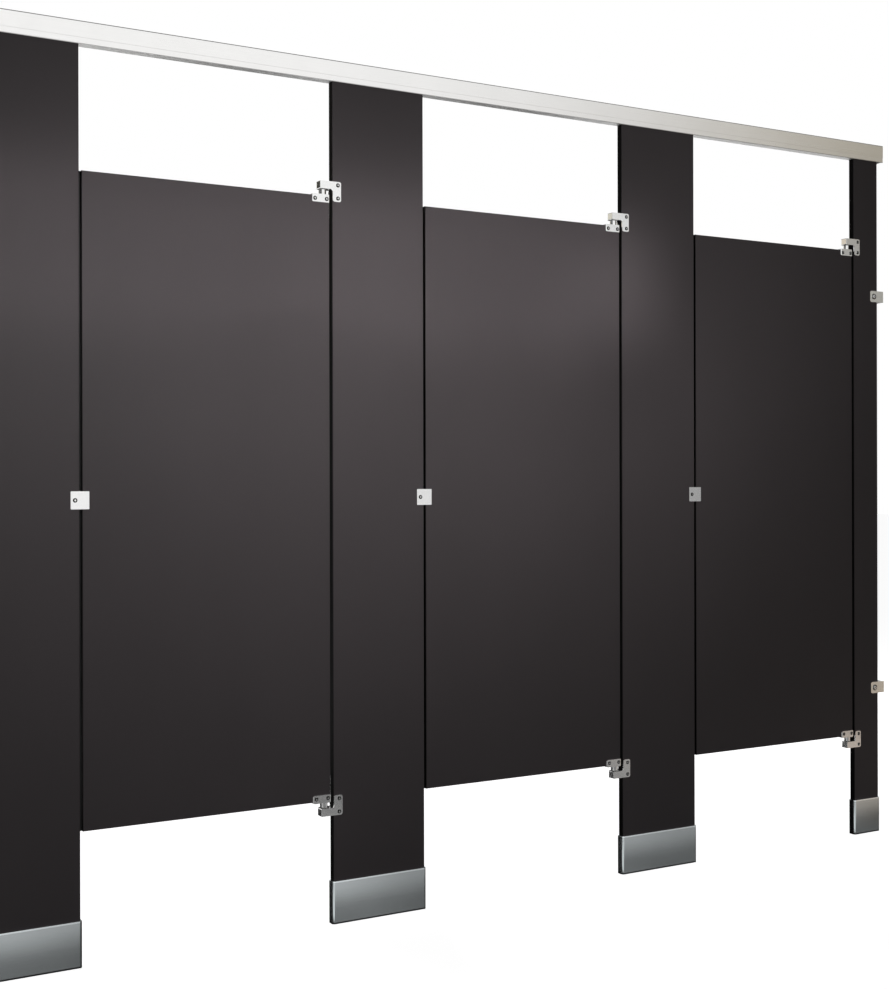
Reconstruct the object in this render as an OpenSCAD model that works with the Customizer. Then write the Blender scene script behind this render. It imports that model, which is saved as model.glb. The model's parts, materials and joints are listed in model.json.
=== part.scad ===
// Row of three toilet cubicles: pilasters, doors, dividers, headrail and their hardware.
// Millimetres. +X runs along the row towards the side wall, +Y into the cubicles, +Z up.
// The row is drawn from the first pilaster's outer edge, the pilasters' front face and the
// floor, and placed() moves it so that the origin is on the floor in the middle of its box.

/* [Doors] */
// Width of each door
door_w = 610; // [500:5:900]
// Height of each door and divider
door_h = 1475; // [1300:5:1600]
// Height of the doors' and dividers' bottom edge above the floor
door_bottom = 302; // [200:1:350]
// Thickness of the doors and pilasters
board_t = 19; // [17:0.5:24]
// Chamfer along the edges of every board
board_chamfer = 1.2; // [0.5:0.1:2]
// Gap beside a door on its latch side
latch_gap = 6; // [4:0.5:10]
// Gap beside a door on its hinge side
hinge_gap = 8; // [6:0.5:10]

/* [Pilasters] */
// Width of the first three pilasters
pilaster_w = 254; // [200:2:400]
// Width of the last pilaster, at the side wall
end_pilaster_w = 100; // [90:1:200]
// Height of the pilasters' top edge above the floor
pilaster_top = 2083; // [1980:1:2300]
// Height of the pilasters' bottom edge above the floor
pilaster_bottom = 26; // [22:1:40]
// Gap between the last pilaster and the side wall
wall_gap = 22; // [15:1:40]

/* [Dividers] */
// Thickness of the dividers
divider_t = 13; // [10:0.5:19]
// Distance from the pilasters' front face to the back wall
cubicle_depth = 1524; // [1200:5:1800]
// Gap in front of and behind each divider
divider_gap = 12; // [8:1:20]
// Distance of the first divider's middle from the first pilaster's outer edge
end_panel_inset = 50; // [45:1:80]

/* [Seals] */
// Gap between a seal and the door's edge
seal_gap = 1; // [0.5:0.1:2]
// Thickness of the seals
seal_t = 5; // [3:0.5:6]

/* [Headrail] */
// How far the headrail reaches down over the pilasters
rail_overlap = 25; // [20:1:28]
// Overall height of the headrail
rail_h = 52; // [46:1:60]
// Height of the headrail's lower band
rail_band_h = 14.5; // [12:0.5:18]
// Wall thickness of the headrail
rail_wall = 2; // [1.5:0.1:3]
// Gap between the headrail's skirts and a pilaster
rail_play = 1; // [0.5:0.1:2]
// How far the headrail's upper part stands proud of its lower band
rail_ridge = 0.8; // [0.3:0.1:1]
// Radius of the headrail's top corners
rail_corner_r = 3; // [1:0.5:5]
// Thickness of the headrail's end cap
rail_cap_t = 3; // [2:0.5:5]
// Thickness of the strips that close the headrail's channel between the pilasters
strip_t = 1.5; // [1:0.1:2]
// Height of the strips' edges inside the channel
strip_h = 9; // [6:0.5:14]

/* [Shoes] */
// Height of the shoes
shoe_h = 104; // [95:1:120]
// Sheet thickness of the shoes
shoe_wall = 1.2; // [0.8:0.1:1.6]
// Gap between a shoe's ends and the pilaster's edges
shoe_end_gap = 2.8; // [2:0.1:5]
// Gap between a shoe's sides and the pilaster's faces
shoe_face_gap = 2.3; // [2:0.1:5]
// Outer corner radius of the shoes
shoe_corner_r = 7; // [2:0.1:7.2]

/* [Floor anchors] */
// Thickness of the anchor plates
anchor_t = 4; // [3:0.5:6]
// Radius of the holes that bolt an anchor plate to the floor
anchor_hole_r = 4.25; // [3.5:0.25:5]
// Diameter of the levelling studs
stud_d = 10; // [8:1:10]
// Height of the levelling studs' top above the floor
stud_top = 84; // [60:1:90]
// Distance of a stud from the pilaster's edge
stud_inset = 30; // [28:1:34]
// Distance of an anchor hole from the stud beside it
anchor_hole_step = 20; // [18:1:22]
// Width of the stud nuts across their flats
nut_af = 17; // [15:0.5:18]
// Height of the stud nuts
nut_h = 8; // [5:1:9]
// Diameter of the washers under the pilasters
washer_d = 20; // [19:0.5:21]
// Thickness of the washers under the pilasters
washer_t = 2; // [1:0.5:3]

/* [Hinges] */
// Diameter of the hinge pins
pin_d = 9.5; // [8:0.5:10]
// Distance of the hinge axis from the door's edge
pin_inset = 14; // [13:0.5:16]
// Height of a hinge bracket's arm
arm_h = 19; // [18:0.5:24]
// Gap between the door's edge and the arm above or below it
arm_rise = 17; // [15:0.5:20]
// Distance from the hinge axis to the arm's free end
arm_end = 12; // [11:0.5:13]
// Width of a hinge bracket's leg on the pilaster
leg_w = 23; // [20:0.5:30]
// How far the leg runs past the door's edge
leg_drop = 13; // [11:0.5:20]
// Width of a hinge leaf on the door
leaf_w = 48; // [44:1:70]
// Height of a hinge leaf's cheeks
leaf_h = 17; // [15:0.5:25]
// Thickness of a hinge leaf over the door's edge
leaf_cap_t = 3; // [2:0.5:5]
// Diameter of a hinge leaf's barrel
barrel_d = 18.5; // [16:0.5:20]
// Outer diameter of the nylon bushings
bushing_d = 13; // [12:0.5:14]
// Thickness of a bushing's flange
flange_t = 1.6; // [1:0.1:3]
// Gap left between a bushing's flange and the arm
thrust_gap = 0.2; // [0.1:0.05:0.3]

/* [Plates and bolts] */
// Thickness of the cast hinge, bracket and strike plates
plate_t = 3.5; // [3:0.5:4]
// Corner radius of the cast plates
plate_r = 3.5; // [1:0.5:5]
// Corner radius of the hinge brackets' legs
leg_r = 6; // [1:0.5:7]
// Diameter of the bolt heads
head_d = 10; // [9:0.5:11]
// Diameter of the pilaster-to-wall bolt heads
wall_head_d = 18; // [10:0.5:18]
// Height of the bolt heads
head_h = 2.5; // [1.5:0.1:3]
// Diameter of the bolt shanks
screw_d = 5; // [4:0.5:5]
// Outer diameter of the barrel nuts' sleeves
sleeve_d = 7; // [6.5:0.5:8]
// Clearance all round a bolt or sleeve in its hole
bolt_play = 0.1; // [0.05:0.05:0.2]
// Depth to which a blind screw enters a board
blind_l = 13; // [10:0.5:14]

/* [Panel brackets] */
// Distance of the upper brackets' middle below the doors' top edge
upper_bracket_drop = 134; // [60:1:300]
// Distance of the lower brackets' middle above the doors' bottom edge
lower_bracket_rise = 140; // [60:1:300]
// Height of the brackets
bracket_h = 34; // [30:1:50]
// How far the brackets' ears reach over a board
ear_reach = 33; // [26:1:45]
// Distance of an ear's bolt from a divider's edge
ear_bolt_inset = 14; // [12:1:18]
// Distance of a wall bracket's bolt from the last pilaster's edge
wall_bolt_inset = 17; // [14:0.5:17]
// Corner radius of the ears on the last pilaster
ear_r = 5.5; // [2:0.5:8]
// Width of a divider bracket's base on each side of its ears
base_flange = 22; // [18:1:30]
// Distance from an ear to the base holes beside it
base_hole_step = 11; // [8:0.5:12]
// Spacing of the wall brackets' base holes along the height
base_hole_pitch = 18; // [17:0.5:20]
// Spacing of the front brackets' base holes along the height
front_hole_pitch = 14; // [12:0.5:15]
// Radius of the base holes
base_hole_r = 2.75; // [2.5:0.05:3]

/* [Latches] */
// Height of the latches' middle above the floor
latch_z = 1041; // [900:1:1200]
// Width of a strike plate
strike_w = 42; // [36:1:50]
// Height of a strike plate
strike_h = 40; // [36:1:50]
// Thickness of a keeper's rear plate and edge web
keeper_t = 2; // [1.5:0.1:2.5]
// How far a keeper's rear plate reaches over the pilaster
keeper_reach = 40; // [34:1:60]
// Distance of a strike's bolt from the pilaster's edge
strike_bolt_inset = 11; // [10:0.5:14]
// Thickness of the rubber stop pads
pad_t = 1.4; // [1:0.1:1.6]
// Height of a slide bolt
slide_h = 10; // [8:0.5:12]
// Thickness of a slide bolt
slide_t = 8; // [6:0.5:10]
// Length of a slide bolt
slide_l = 66; // [60:1:80]
// Travel of a slide bolt
slide_travel = 25; // [20:0.5:26]
// Clearance all round a slide bolt in its case
slide_play = 0.2; // [0.1:0.05:0.3]
// Length of a latch case
case_l = 76; // [74:1:110]
// Height of a latch case's cover
case_h = 34; // [30:1:50]
// Wall thickness of a latch case's cover
case_wall = 4; // [3:0.5:6]
// Diameter of a latch knob
knob_d = 20; // [16:1:30]
// Thickness of a latch knob
knob_t = 8; // [6:0.5:12]

/* [Coat hooks] */
// Distance of the coat hooks' middle below the doors' top edge
hook_drop = 167; // [100:1:400]
// How far a coat hook's post stands off the door
hook_post_l = 58; // [45:1:70]
// Diameter of a coat hook's post
hook_post_d = 12; // [10:0.5:14]
// Diameter of the rubber bumper on the post
bumper_d = 24; // [20:1:24]
// Length of the rubber bumper
bumper_l = 14; // [10:1:20]
// Length of the straight part of a coat hook's prong
prong_l = 20; // [15:1:26]
// Bend radius of a coat hook's prong
prong_r = 10; // [8:0.5:11]
// Diameter of a coat hook's prong
prong_d = 7; // [6:0.5:8]

/* [Hidden] */
$fn = 40;

// A cut runs this far past the surface that it opens
over = 1;
// Small gap that parts pieces of one fixed group
seam = 0.3;
// Small rounding of plates and bars
edge_r = 1;

// The row
doors = 3;
sides = [-1, 1];
pitch = pilaster_w + latch_gap + door_w + hinge_gap;
wall_x = doors * pitch + end_pilaster_w + wall_gap;
door_top = door_bottom + door_h;
board_mid = board_t / 2;
back_y = board_t + plate_t;
bracket_heights = [door_bottom + lower_bracket_rise, door_top - upper_bracket_drop];

// Box of the whole row, which places the origin
front_y = -max(plate_t + head_h, rail_play + rail_wall + rail_ridge, shoe_face_gap + shoe_wall);
left_x = -max(rail_cap_t, shoe_end_gap + shoe_wall);
mid_x = (left_x + wall_x) / 2;
mid_y = (front_y + cubicle_depth) / 2;

// Headrail
rail_bottom = pilaster_top - rail_overlap;
rail_face = rail_play + rail_wall;
rail_room_low = rail_overlap + rail_wall;
rail_room_h = rail_h - rail_room_low - rail_wall;
rail_screw_z = rail_bottom + rail_band_h / 2;
rail_screw_inset = 25;
rail_screw_l = 15;
cap_plug_l = 20;
socket_l = wall_gap - 3;
socket_wall = 3;
socket_hole_r = 2.3;
socket_hole_pitch = 10;

// Bolts and their holes
panel_grip = board_t + 2 * plate_t;
keeper_grip = plate_t + board_t + keeper_t;
divider_grip = divider_t + 2 * plate_t;
screw_hole_d = screw_d + 2 * bolt_play;
sleeve_hole_d = sleeve_d + 2 * bolt_play;
nut_head_h = head_h / 2;
head_rim = 0.6;
head_crown = 0.4;
drive_d = 4;
drive_deep = 1.4;
tip_gap = 2;

// Floor anchors
stud_hole_d = stud_d + 1;
stud_hole_over = 6;

// Hinges, measured from the pilaster's edge, the front face and the door's edge
axis_x = -(hinge_gap + pin_inset);
arm_x = axis_x - arm_end;
leaf_x = -(hinge_gap + leaf_w);
arm_top = arm_rise + arm_h;
pin_play = 0.05;
pin_start = 0.5;
pin_seat = 15;
bracket_bolt_x = 14;
hinge_bolt_margin = 8.5;
barrel_end = arm_rise - thrust_gap - flange_t;
leaf_r = 4.5;
leaf_side_r = 3;
arm_r = 2;
arm_back_r = 7;
fillet_r = 4;

// Latch, measured from the pilaster's edge and the front face
relief_t = pad_t + seam;
pad_margin = 4;
case_x = latch_gap + 5;
case_base_t = 3;
case_flange = 12;
case_screw_inset = 12;
case_screw_z = (case_h + case_flange) / 2;
slide_front = board_t + 7;
slide_back = slide_front + slide_t;
case_back = slide_back + slide_play + case_wall;
stem_d = 8;
stem_play = 0.4;
knob_y = case_back + 2;
knob_x = case_x + slide_l - 16;
staple_x = -20;
staple_l = 16;
staple_t = 3;
staple_play = 1.5;

// Coat hook
hook_base_w = 44;
hook_base_h = 60;
hook_base_t = 4;
hook_screw_x = 15;
hook_post_z = 13;
prong_z = -13;
bumper_sink = 6;

function pilaster_x(i) = i * pitch;
function pilaster_width(i) = i == doors ? end_pilaster_w : pilaster_w;
function latch_edge(i) = pilaster_x(i) + pilaster_w;
function door_x(i) = latch_edge(i) + latch_gap;
function divider_x(i) = pilaster_x(i) + (i == 0 ? end_panel_inset : pilaster_w / 2);

// ---- Shapes ----

// Outline extruded from y0 to y1, its first axis along X and its second along Z
module slab_xz(y0, y1) {
    translate([0, y1, 0]) rotate([90, 0, 0]) linear_extrude(y1 - y0) children();
}

// Outline extruded from x0 to x1, its first axis along Y and its second along Z
module slab_yz(x0, x1) {
    translate([x0, 0, 0]) rotate([90, 0, 90]) linear_extrude(x1 - x0) children();
}

module along_x() {
    rotate([0, 90, 0]) children();
}

module along_y() {
    rotate([-90, 0, 0]) children();
}

module against_y() {
    rotate([90, 0, 0]) children();
}

module block(low, high) {
    translate(low) cube(high - low);
}

module rect(low, high) {
    translate(low) square(high - low);
}

module rounded_rect(low, high, r) {
    rect([low.x + r, low.y], [high.x - r, high.y]);
    rect([low.x, low.y + r], [high.x, high.y - r]);
    for (x = [low.x + r, high.x - r], y = [low.y + r, high.y - r]) translate([x, y]) circle(r);
}

module chamfered_rect(w, h, c) {
    polygon([[c, 0], [w - c, 0], [w, c], [w, h - c], [w - c, h], [c, h], [0, h - c], [0, c]]);
}

// Board with its front face at y = 0 and its lower left corner at the origin
module board(w, t, h) {
    intersection() {
        linear_extrude(h) chamfered_rect(w, t, board_chamfer);
        slab_yz(0, w) chamfered_rect(t, h, board_chamfer);
    }
}

// ---- Bolts ----

// Domed head that stands on z = 0, with a drive socket in its flat crown
module bolt_head(d) {
    dome_h = head_h - head_rim + head_crown;
    dome_r = (dome_h * dome_h + d * d / 4) / (2 * dome_h);
    difference() {
        intersection() {
            translate([0, 0, head_rim + dome_h - dome_r]) sphere(dome_r);
            cylinder(d = d, h = head_h);
        }
        translate([0, 0, head_h - drive_deep]) cylinder(d = drive_d, h = drive_deep + over, $fn = 6);
    }
}

// Bolt with its head's seat at z = 0, in a barrel nut with its head's seat at z = grip
module through_bolt(grip, d = head_d) {
    mirror([0, 0, 1]) bolt_head(d);
    cylinder(d = screw_d, h = grip - tip_gap);
    difference() {
        union() {
            translate([0, 0, plate_t]) cylinder(d = sleeve_d, h = grip - plate_t);
            translate([0, 0, grip]) cylinder(d = head_d, h = nut_head_h);
        }
        translate([0, 0, plate_t - over]) cylinder(d = screw_hole_d, h = grip - plate_t);
    }
}

// Hole that a through_bolt of the same grip fills
module bolt_bore(grip) {
    translate([0, 0, -over]) cylinder(d = screw_hole_d, h = plate_t + 2 * over);
    translate([0, 0, plate_t]) cylinder(d = sleeve_hole_d, h = grip - plate_t + over);
}

// Screw with its head's seat at z = 0
module blind_screw(l) {
    mirror([0, 0, 1]) bolt_head(head_d);
    cylinder(d = screw_d, h = l);
}

module screw_bore(depth) {
    translate([0, 0, -over]) cylinder(d = screw_hole_d, h = depth + over);
}

// ---- Places ----

module placed() {
    translate([-mid_x, -mid_y, 0]) children();
}

// At a hinge: its pilaster's edge, the front face and the door's top or bottom edge
module at_hinge(i, side) {
    edge_z = side > 0 ? door_top : door_bottom;
    translate([pilaster_x(i + 1), 0, edge_z]) mirror([0, 0, side > 0 ? 0 : 1]) children();
}

module at_bracket_bolts() {
    for (z = [hinge_bolt_margin - leg_drop, arm_top - hinge_bolt_margin])
        translate([bracket_bolt_x, -plate_t, z]) along_y() children();
}

module at_leaf_bolts() {
    for (x = [leaf_x + hinge_bolt_margin, leaf_x + leaf_w - hinge_bolt_margin])
        translate([x, -plate_t, -leaf_h / 2]) along_y() children();
}

// At a latch: its pilaster's edge and the front face
module at_latch(i) {
    translate([latch_edge(i), 0, latch_z]) children();
}

module at_strike_bolt() {
    translate([-strike_bolt_inset, -plate_t, 0]) along_y() children();
}

module at_case_screws() {
    for (x = [case_screw_inset, case_l - case_screw_inset], side = sides)
        translate([case_x + x, board_t + case_base_t, side * case_screw_z]) against_y() children();
}

// At a coat hook: the middle of its base on the door's inner face
module at_hook(i) {
    translate([door_x(i) + door_w / 2, board_t, door_top - hook_drop]) children();
}

module at_hook_screws() {
    for (side = sides) translate([side * hook_screw_x, hook_base_t, 0]) against_y() children();
}

// At a divider's brackets: its middle plane and the surface that their bases sit on
module at_front_brackets(i) {
    for (z = bracket_heights) translate([divider_x(i), board_t, z]) children();
}

module at_wall_brackets(i) {
    for (z = bracket_heights) translate([divider_x(i), cubicle_depth, z]) mirror([0, 1, 0]) children();
}

module at_base_holes(pitch_z) {
    hole_x = divider_t / 2 + plate_t + base_hole_step;
    for (x = [-hole_x, hole_x], side = sides)
        translate([x, plate_t, side * pitch_z / 2]) against_y() children();
}

module at_ear_bolt() {
    translate([-divider_grip / 2, divider_gap + ear_bolt_inset, 0]) along_x() children();
}

module at_wall_bolts() {
    for (z = bracket_heights)
        translate([wall_x - wall_gap - wall_bolt_inset, -plate_t, z]) along_y() children();
}

module at_rail_screws(i) {
    for (x = [rail_screw_inset, pilaster_width(i) - rail_screw_inset])
        translate([pilaster_x(i) + x, board_t + rail_face, rail_screw_z]) against_y() children();
}

module at_socket_screw() {
    translate([wall_x - socket_l / 2, board_t + rail_face, rail_screw_z]) against_y() children();
}

module at_studs(i) {
    for (x = [stud_inset, pilaster_width(i) - stud_inset])
        translate([pilaster_x(i) + x, board_mid, 0]) children();
}

module at_anchor_holes(i) {
    for (x = [stud_inset - anchor_hole_step, pilaster_width(i) - stud_inset + anchor_hole_step])
        translate([pilaster_x(i) + x, board_mid, 0]) children();
}

// ---- Boards ----

module pilaster(i) {
    color([0.26, 0.25, 0.25])
    difference() {
        translate([pilaster_x(i), 0, pilaster_bottom])
            board(pilaster_width(i), board_t, pilaster_top - pilaster_bottom);
        at_studs(i) cylinder(d = stud_hole_d, h = stud_top + stud_hole_over);
        at_rail_screws(i) screw_bore(rail_face + rail_screw_l);
        if (i > 0) for (side = sides) at_hinge(i - 1, side) at_bracket_bolts() bolt_bore(panel_grip);
        if (i < doors) at_latch(i) at_strike_bolt() bolt_bore(keeper_grip);
        if (i < doors) at_front_brackets(i) at_base_holes(front_hole_pitch) screw_bore(plate_t + blind_l);
        if (i == doors) at_wall_bolts() bolt_bore(panel_grip);
    }
}

module door_panel(i) {
    color([0.26, 0.25, 0.25])
    difference() {
        translate([door_x(i), 0, door_bottom]) board(door_w, board_t, door_h);
        for (side = sides) at_hinge(i, side) at_leaf_bolts() bolt_bore(panel_grip);
        at_latch(i) at_case_screws() screw_bore(case_base_t + blind_l);
        at_hook(i) at_hook_screws() screw_bore(hook_base_t + blind_l);
    }
}

module divider(i) {
    depth = cubicle_depth - board_t - 2 * divider_gap;
    color([0.26, 0.25, 0.25])
    difference() {
        translate([divider_x(i) + divider_t / 2, board_t + divider_gap, door_bottom])
            rotate([0, 0, 90]) board(depth, divider_t, door_h);
        at_front_brackets(i) at_ear_bolt() bolt_bore(divider_grip);
        at_wall_brackets(i) at_ear_bolt() bolt_bore(divider_grip);
    }
}

// ---- Shoes and floor anchors ----

// Outline of a shoe drawn in by a given amount, from the first corner of its pilaster
module shoe_outline(i, inset) {
    low = [inset - shoe_end_gap - shoe_wall, inset - shoe_face_gap - shoe_wall];
    rounded_rect(low, [pilaster_width(i), board_t] - low, shoe_corner_r - min(inset, shoe_wall));
}

// Sheet sleeve with a lip round its top
module shoe(i) {
    color([0.6, 0.62, 0.62])
    translate([pilaster_x(i), 0, 0]) difference() {
        linear_extrude(shoe_h) shoe_outline(i, 0);
        translate([0, 0, -over]) linear_extrude(shoe_h - shoe_wall + over) shoe_outline(i, shoe_wall);
        block([-seam, -seam, 0], [pilaster_width(i) + seam, board_t + seam, shoe_h + over]);
    }
}

module anchor_plates() {
    color([0.7, 0.7, 0.68])
    placed() for (i = [0:doors]) difference() {
        translate([pilaster_x(i), 0, 0]) linear_extrude(anchor_t) shoe_outline(i, shoe_wall + seam);
        at_anchor_holes(i) translate([0, 0, -over]) cylinder(r = anchor_hole_r, h = anchor_t + 2 * over);
    }
}

// Studs on the anchor plates, each with the nut and the washer that carry the pilaster
module levelling_studs() {
    washer_z = pilaster_bottom - washer_t;
    nut_z = washer_z - nut_h;
    color([0.72, 0.7, 0.62])
    placed() for (i = [0:doors]) at_studs(i) {
        translate([0, 0, anchor_t]) cylinder(d = stud_d, h = stud_top - anchor_t);
        difference() {
            union() {
                translate([0, 0, washer_z]) cylinder(d = washer_d, h = washer_t);
                translate([0, 0, nut_z]) cylinder(d = nut_af / cos(30), h = nut_h, $fn = 6);
            }
            cylinder(d = stud_d + 2 * bolt_play, h = pilaster_bottom + over);
        }
    }
}

// ---- Headrail ----

// Outer outline of the headrail across its length, from the pilasters' front face
module rail_outline() {
    upper = rail_face + rail_ridge;
    rect([-rail_face, 0], [board_t + rail_face, rail_band_h]);
    rect([-upper, rail_band_h], [board_t + upper, rail_h - rail_corner_r]);
    rounded_rect([-upper, rail_band_h], [board_t + upper, rail_h], rail_corner_r);
}

// Outline of the headrail's closed upper room drawn in by a given amount
module rail_room(inset) {
    low = [inset - rail_play, rail_room_low + inset];
    rect(low, [board_t - low.x, rail_room_low + rail_room_h - inset]);
}

module headrail() {
    color([0.88, 0.87, 0.85])
    placed() difference() {
        translate([0, 0, rail_bottom]) slab_yz(0, wall_x) difference() {
            rail_outline();
            rect([-rail_play, -over], [board_t + rail_play, rail_overlap]);
            rail_room(0);
        }
        for (i = [0:doors]) at_rail_screws(i) screw_bore(rail_face);
        at_socket_screw() screw_bore(rail_face);
    }
}

// Outline of a strip that snaps into the headrail's channel, open at the top
module strip_outline() {
    low = bolt_play - rail_play;
    high = board_t - low;
    difference() {
        rect([low, 0], [high, strip_h]);
        rect([low + strip_t, strip_t], [high - strip_t, strip_h + over]);
    }
}

// End cap, and the strips between the pilasters
module headrail_covers() {
    color([0.88, 0.87, 0.85])
    placed() translate([0, 0, rail_bottom]) {
        slab_yz(-rail_cap_t, 0) rail_outline();
        slab_yz(-over, cap_plug_l) rail_room(bolt_play);
        for (i = [0:doors - 1]) slab_yz(latch_edge(i) + seam, pilaster_x(i + 1) - seam) strip_outline();
    }
}

// Socket that is fixed to the side wall and holds the headrail's end from inside
module headrail_wall_bracket() {
    low = [wall_x - socket_l, bolt_play - rail_play, rail_bottom + over];
    high = [wall_x, board_t - low.y, pilaster_top - bolt_play];
    color([0.75, 0.75, 0.74])
    placed() difference() {
        block(low, high);
        block([low.x - over, low.y + socket_wall, low.z - over],
              [high.x - socket_wall, high.y - socket_wall, high.z + over]);
        for (side = sides)
            translate([wall_x - socket_wall - over, board_mid, (low.z + high.z + side * socket_hole_pitch) / 2])
                along_x() cylinder(r = socket_hole_r, h = socket_wall + 2 * over);
        at_socket_screw() screw_bore(rail_face + socket_wall + over);
    }
}

module headrail_screws() {
    color([0.8, 0.8, 0.8])
    placed() {
        for (i = [0:doors]) at_rail_screws(i) blind_screw(rail_face + rail_screw_l - tip_gap);
        at_socket_screw() blind_screw(rail_face + socket_wall);
    }
}

// ---- Panel brackets ----

// Two ears that clasp a divider, on a base that spreads to both sides of them
module divider_bracket(hole_pitch) {
    base_x = divider_grip / 2 + base_flange;
    ear_y = divider_gap + ear_reach;
    difference() {
        union() {
            slab_xz(0, plate_t) rounded_rect([-base_x, -bracket_h / 2], [base_x, bracket_h / 2], plate_r);
            slab_yz(-divider_grip / 2, divider_grip / 2) {
                rounded_rect([0, -bracket_h / 2], [ear_y, bracket_h / 2], plate_r);
                rect([0, -bracket_h / 2], [2 * plate_r, bracket_h / 2]);
            }
        }
        block([-divider_t / 2, plate_t, -bracket_h], [divider_t / 2, ear_y + over, bracket_h]);
        at_base_holes(hole_pitch) translate([0, 0, -over]) cylinder(r = base_hole_r, h = plate_t + 2 * over);
        at_ear_bolt() bolt_bore(divider_grip);
    }
}

module divider_front_brackets() {
    color([0.8, 0.8, 0.8])
    placed() for (i = [0:doors - 1]) at_front_brackets(i) divider_bracket(front_hole_pitch);
}

module divider_wall_brackets() {
    color([0.8, 0.8, 0.8])
    placed() for (i = [0:doors - 1]) at_wall_brackets(i) divider_bracket(base_hole_pitch);
}

// Ears over both faces of the last pilaster, on a base at the side wall
module pilaster_wall_brackets() {
    reach = wall_gap + ear_reach;
    color([0.82, 0.82, 0.8])
    placed() difference() {
        for (z = bracket_heights) translate([wall_x, 0, z]) slab_xz(-plate_t, back_y) {
            rounded_rect([-reach, -bracket_h / 2], [0, bracket_h / 2], ear_r);
            rect([-2 * ear_r, -bracket_h / 2], [0, bracket_h / 2]);
        }
        block([wall_x - reach - over, 0, 0], [wall_x - plate_t, board_t, pilaster_top]);
        for (z = bracket_heights, side = sides)
            translate([wall_x - plate_t - over, board_mid, z + side * base_hole_pitch / 2])
                along_x() cylinder(r = base_hole_r, h = plate_t + 2 * over);
        at_wall_bolts() bolt_bore(panel_grip);
    }
}

// ---- Hinges ----

// Front view of a hinge bracket: an arm over the door beside a leg on the pilaster
module bracket_outline() {
    rounded_rect([0, -leg_drop], [leg_w, arm_top], leg_r);
    rounded_rect([arm_x, arm_rise], [leg_w - leg_r, arm_top], arm_r);
    difference() {
        rect([-fillet_r, arm_rise - fillet_r], [0, arm_rise]);
        translate([-fillet_r, arm_rise - fillet_r]) circle(fillet_r);
    }
}

module hinge_bracket(i, side) {
    color([0.85, 0.85, 0.85])
    at_hinge(i, side) difference() {
        intersection() {
            slab_xz(-plate_t, back_y) bracket_outline();
            translate([0, 0, -leg_drop]) linear_extrude(leg_drop + arm_top) {
                rounded_rect([arm_x, -plate_t], [leg_w, board_mid], edge_r);
                rounded_rect([arm_x, 0], [leg_w, back_y], arm_back_r);
                rounded_rect([0, -plate_t], [leg_w, back_y], edge_r);
            }
        }
        block([0, 0, -leg_drop - over], [leg_w + over, board_t, arm_top + over]);
        block([-fillet_r - over, 0, -leg_drop - over], [0, board_t, arm_rise]);
        translate([axis_x, board_mid, 0]) cylinder(d = pin_d + 2 * pin_play, h = arm_rise + pin_seat);
        at_bracket_bolts() bolt_bore(panel_grip);
    }
}

// Saddle over the door's edge, with the barrel that turns on the pin
module hinge_leaf(i, side) {
    low = [leaf_x, -plate_t];
    high = [leaf_x + leaf_w, back_y];
    color([0.85, 0.85, 0.85])
    at_hinge(i, side) difference() {
        union() {
            intersection() {
                slab_xz(low.y, high.y) rounded_rect([low.x, -leaf_h], [high.x, leaf_cap_t], leaf_r);
                translate([0, 0, -leaf_h]) linear_extrude(leaf_h + leaf_cap_t) rounded_rect(low, high, leaf_side_r);
            }
            translate([axis_x, board_mid, 0]) cylinder(d = barrel_d, h = barrel_end);
        }
        block([low.x - over, 0, -leaf_h - over], [high.x + over, board_t, 0]);
        translate([axis_x, board_mid, -over]) cylinder(d = bushing_d + 2 * pin_play, h = arm_rise);
        at_leaf_bolts() bolt_bore(panel_grip);
    }
}

// Flanged bushings in the barrels, which carry the door and turn on the pins
module hinge_bushings(i) {
    color([0.25, 0.25, 0.25])
    for (side = sides) at_hinge(i, side) translate([axis_x, board_mid, 0]) difference() {
        union() {
            cylinder(d = bushing_d, h = barrel_end + over);
            translate([0, 0, barrel_end]) cylinder(d = barrel_d, h = flange_t);
        }
        translate([0, 0, -over]) cylinder(d = pin_d + 2 * pin_play, h = arm_rise + over);
    }
}

module hinge_pins() {
    color([0.7, 0.7, 0.72])
    placed() for (i = [0:doors - 1], side = sides) at_hinge(i, side)
        translate([axis_x, board_mid, pin_start]) cylinder(d = pin_d, h = arm_rise + pin_seat - pin_start);
}

// ---- Latches ----

// Strike plate, web along the pilaster's edge, and rear plate with the slide bolt's staple
module strike_keeper(i) {
    half_h = strike_h / 2;
    hole_h = slide_h / 2 + staple_play;
    hole_back = slide_back + staple_play;
    color([0.85, 0.85, 0.85])
    at_latch(i) difference() {
        union() {
            slab_xz(-plate_t, 0) rounded_rect([-strike_w / 2, -half_h], [strike_w / 2, half_h], edge_r);
            block([0, -edge_r, -half_h + edge_r], [keeper_t, board_t + edge_r, half_h - edge_r]);
            slab_xz(board_t, board_t + keeper_t)
                rounded_rect([-keeper_reach, -half_h], [keeper_t, half_h], edge_r);
            slab_xz(board_t, hole_back + staple_t)
                rounded_rect([staple_x, -hole_h - staple_t], [staple_x + staple_l, hole_h + staple_t], edge_r);
        }
        block([latch_gap - over, -relief_t, -strike_h], [strike_w, board_t, strike_h]);
        block([staple_x - over, board_t + keeper_t, -hole_h], [staple_x + staple_l + over, hole_back, hole_h]);
        at_strike_bolt() bolt_bore(keeper_grip);
    }
}

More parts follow.
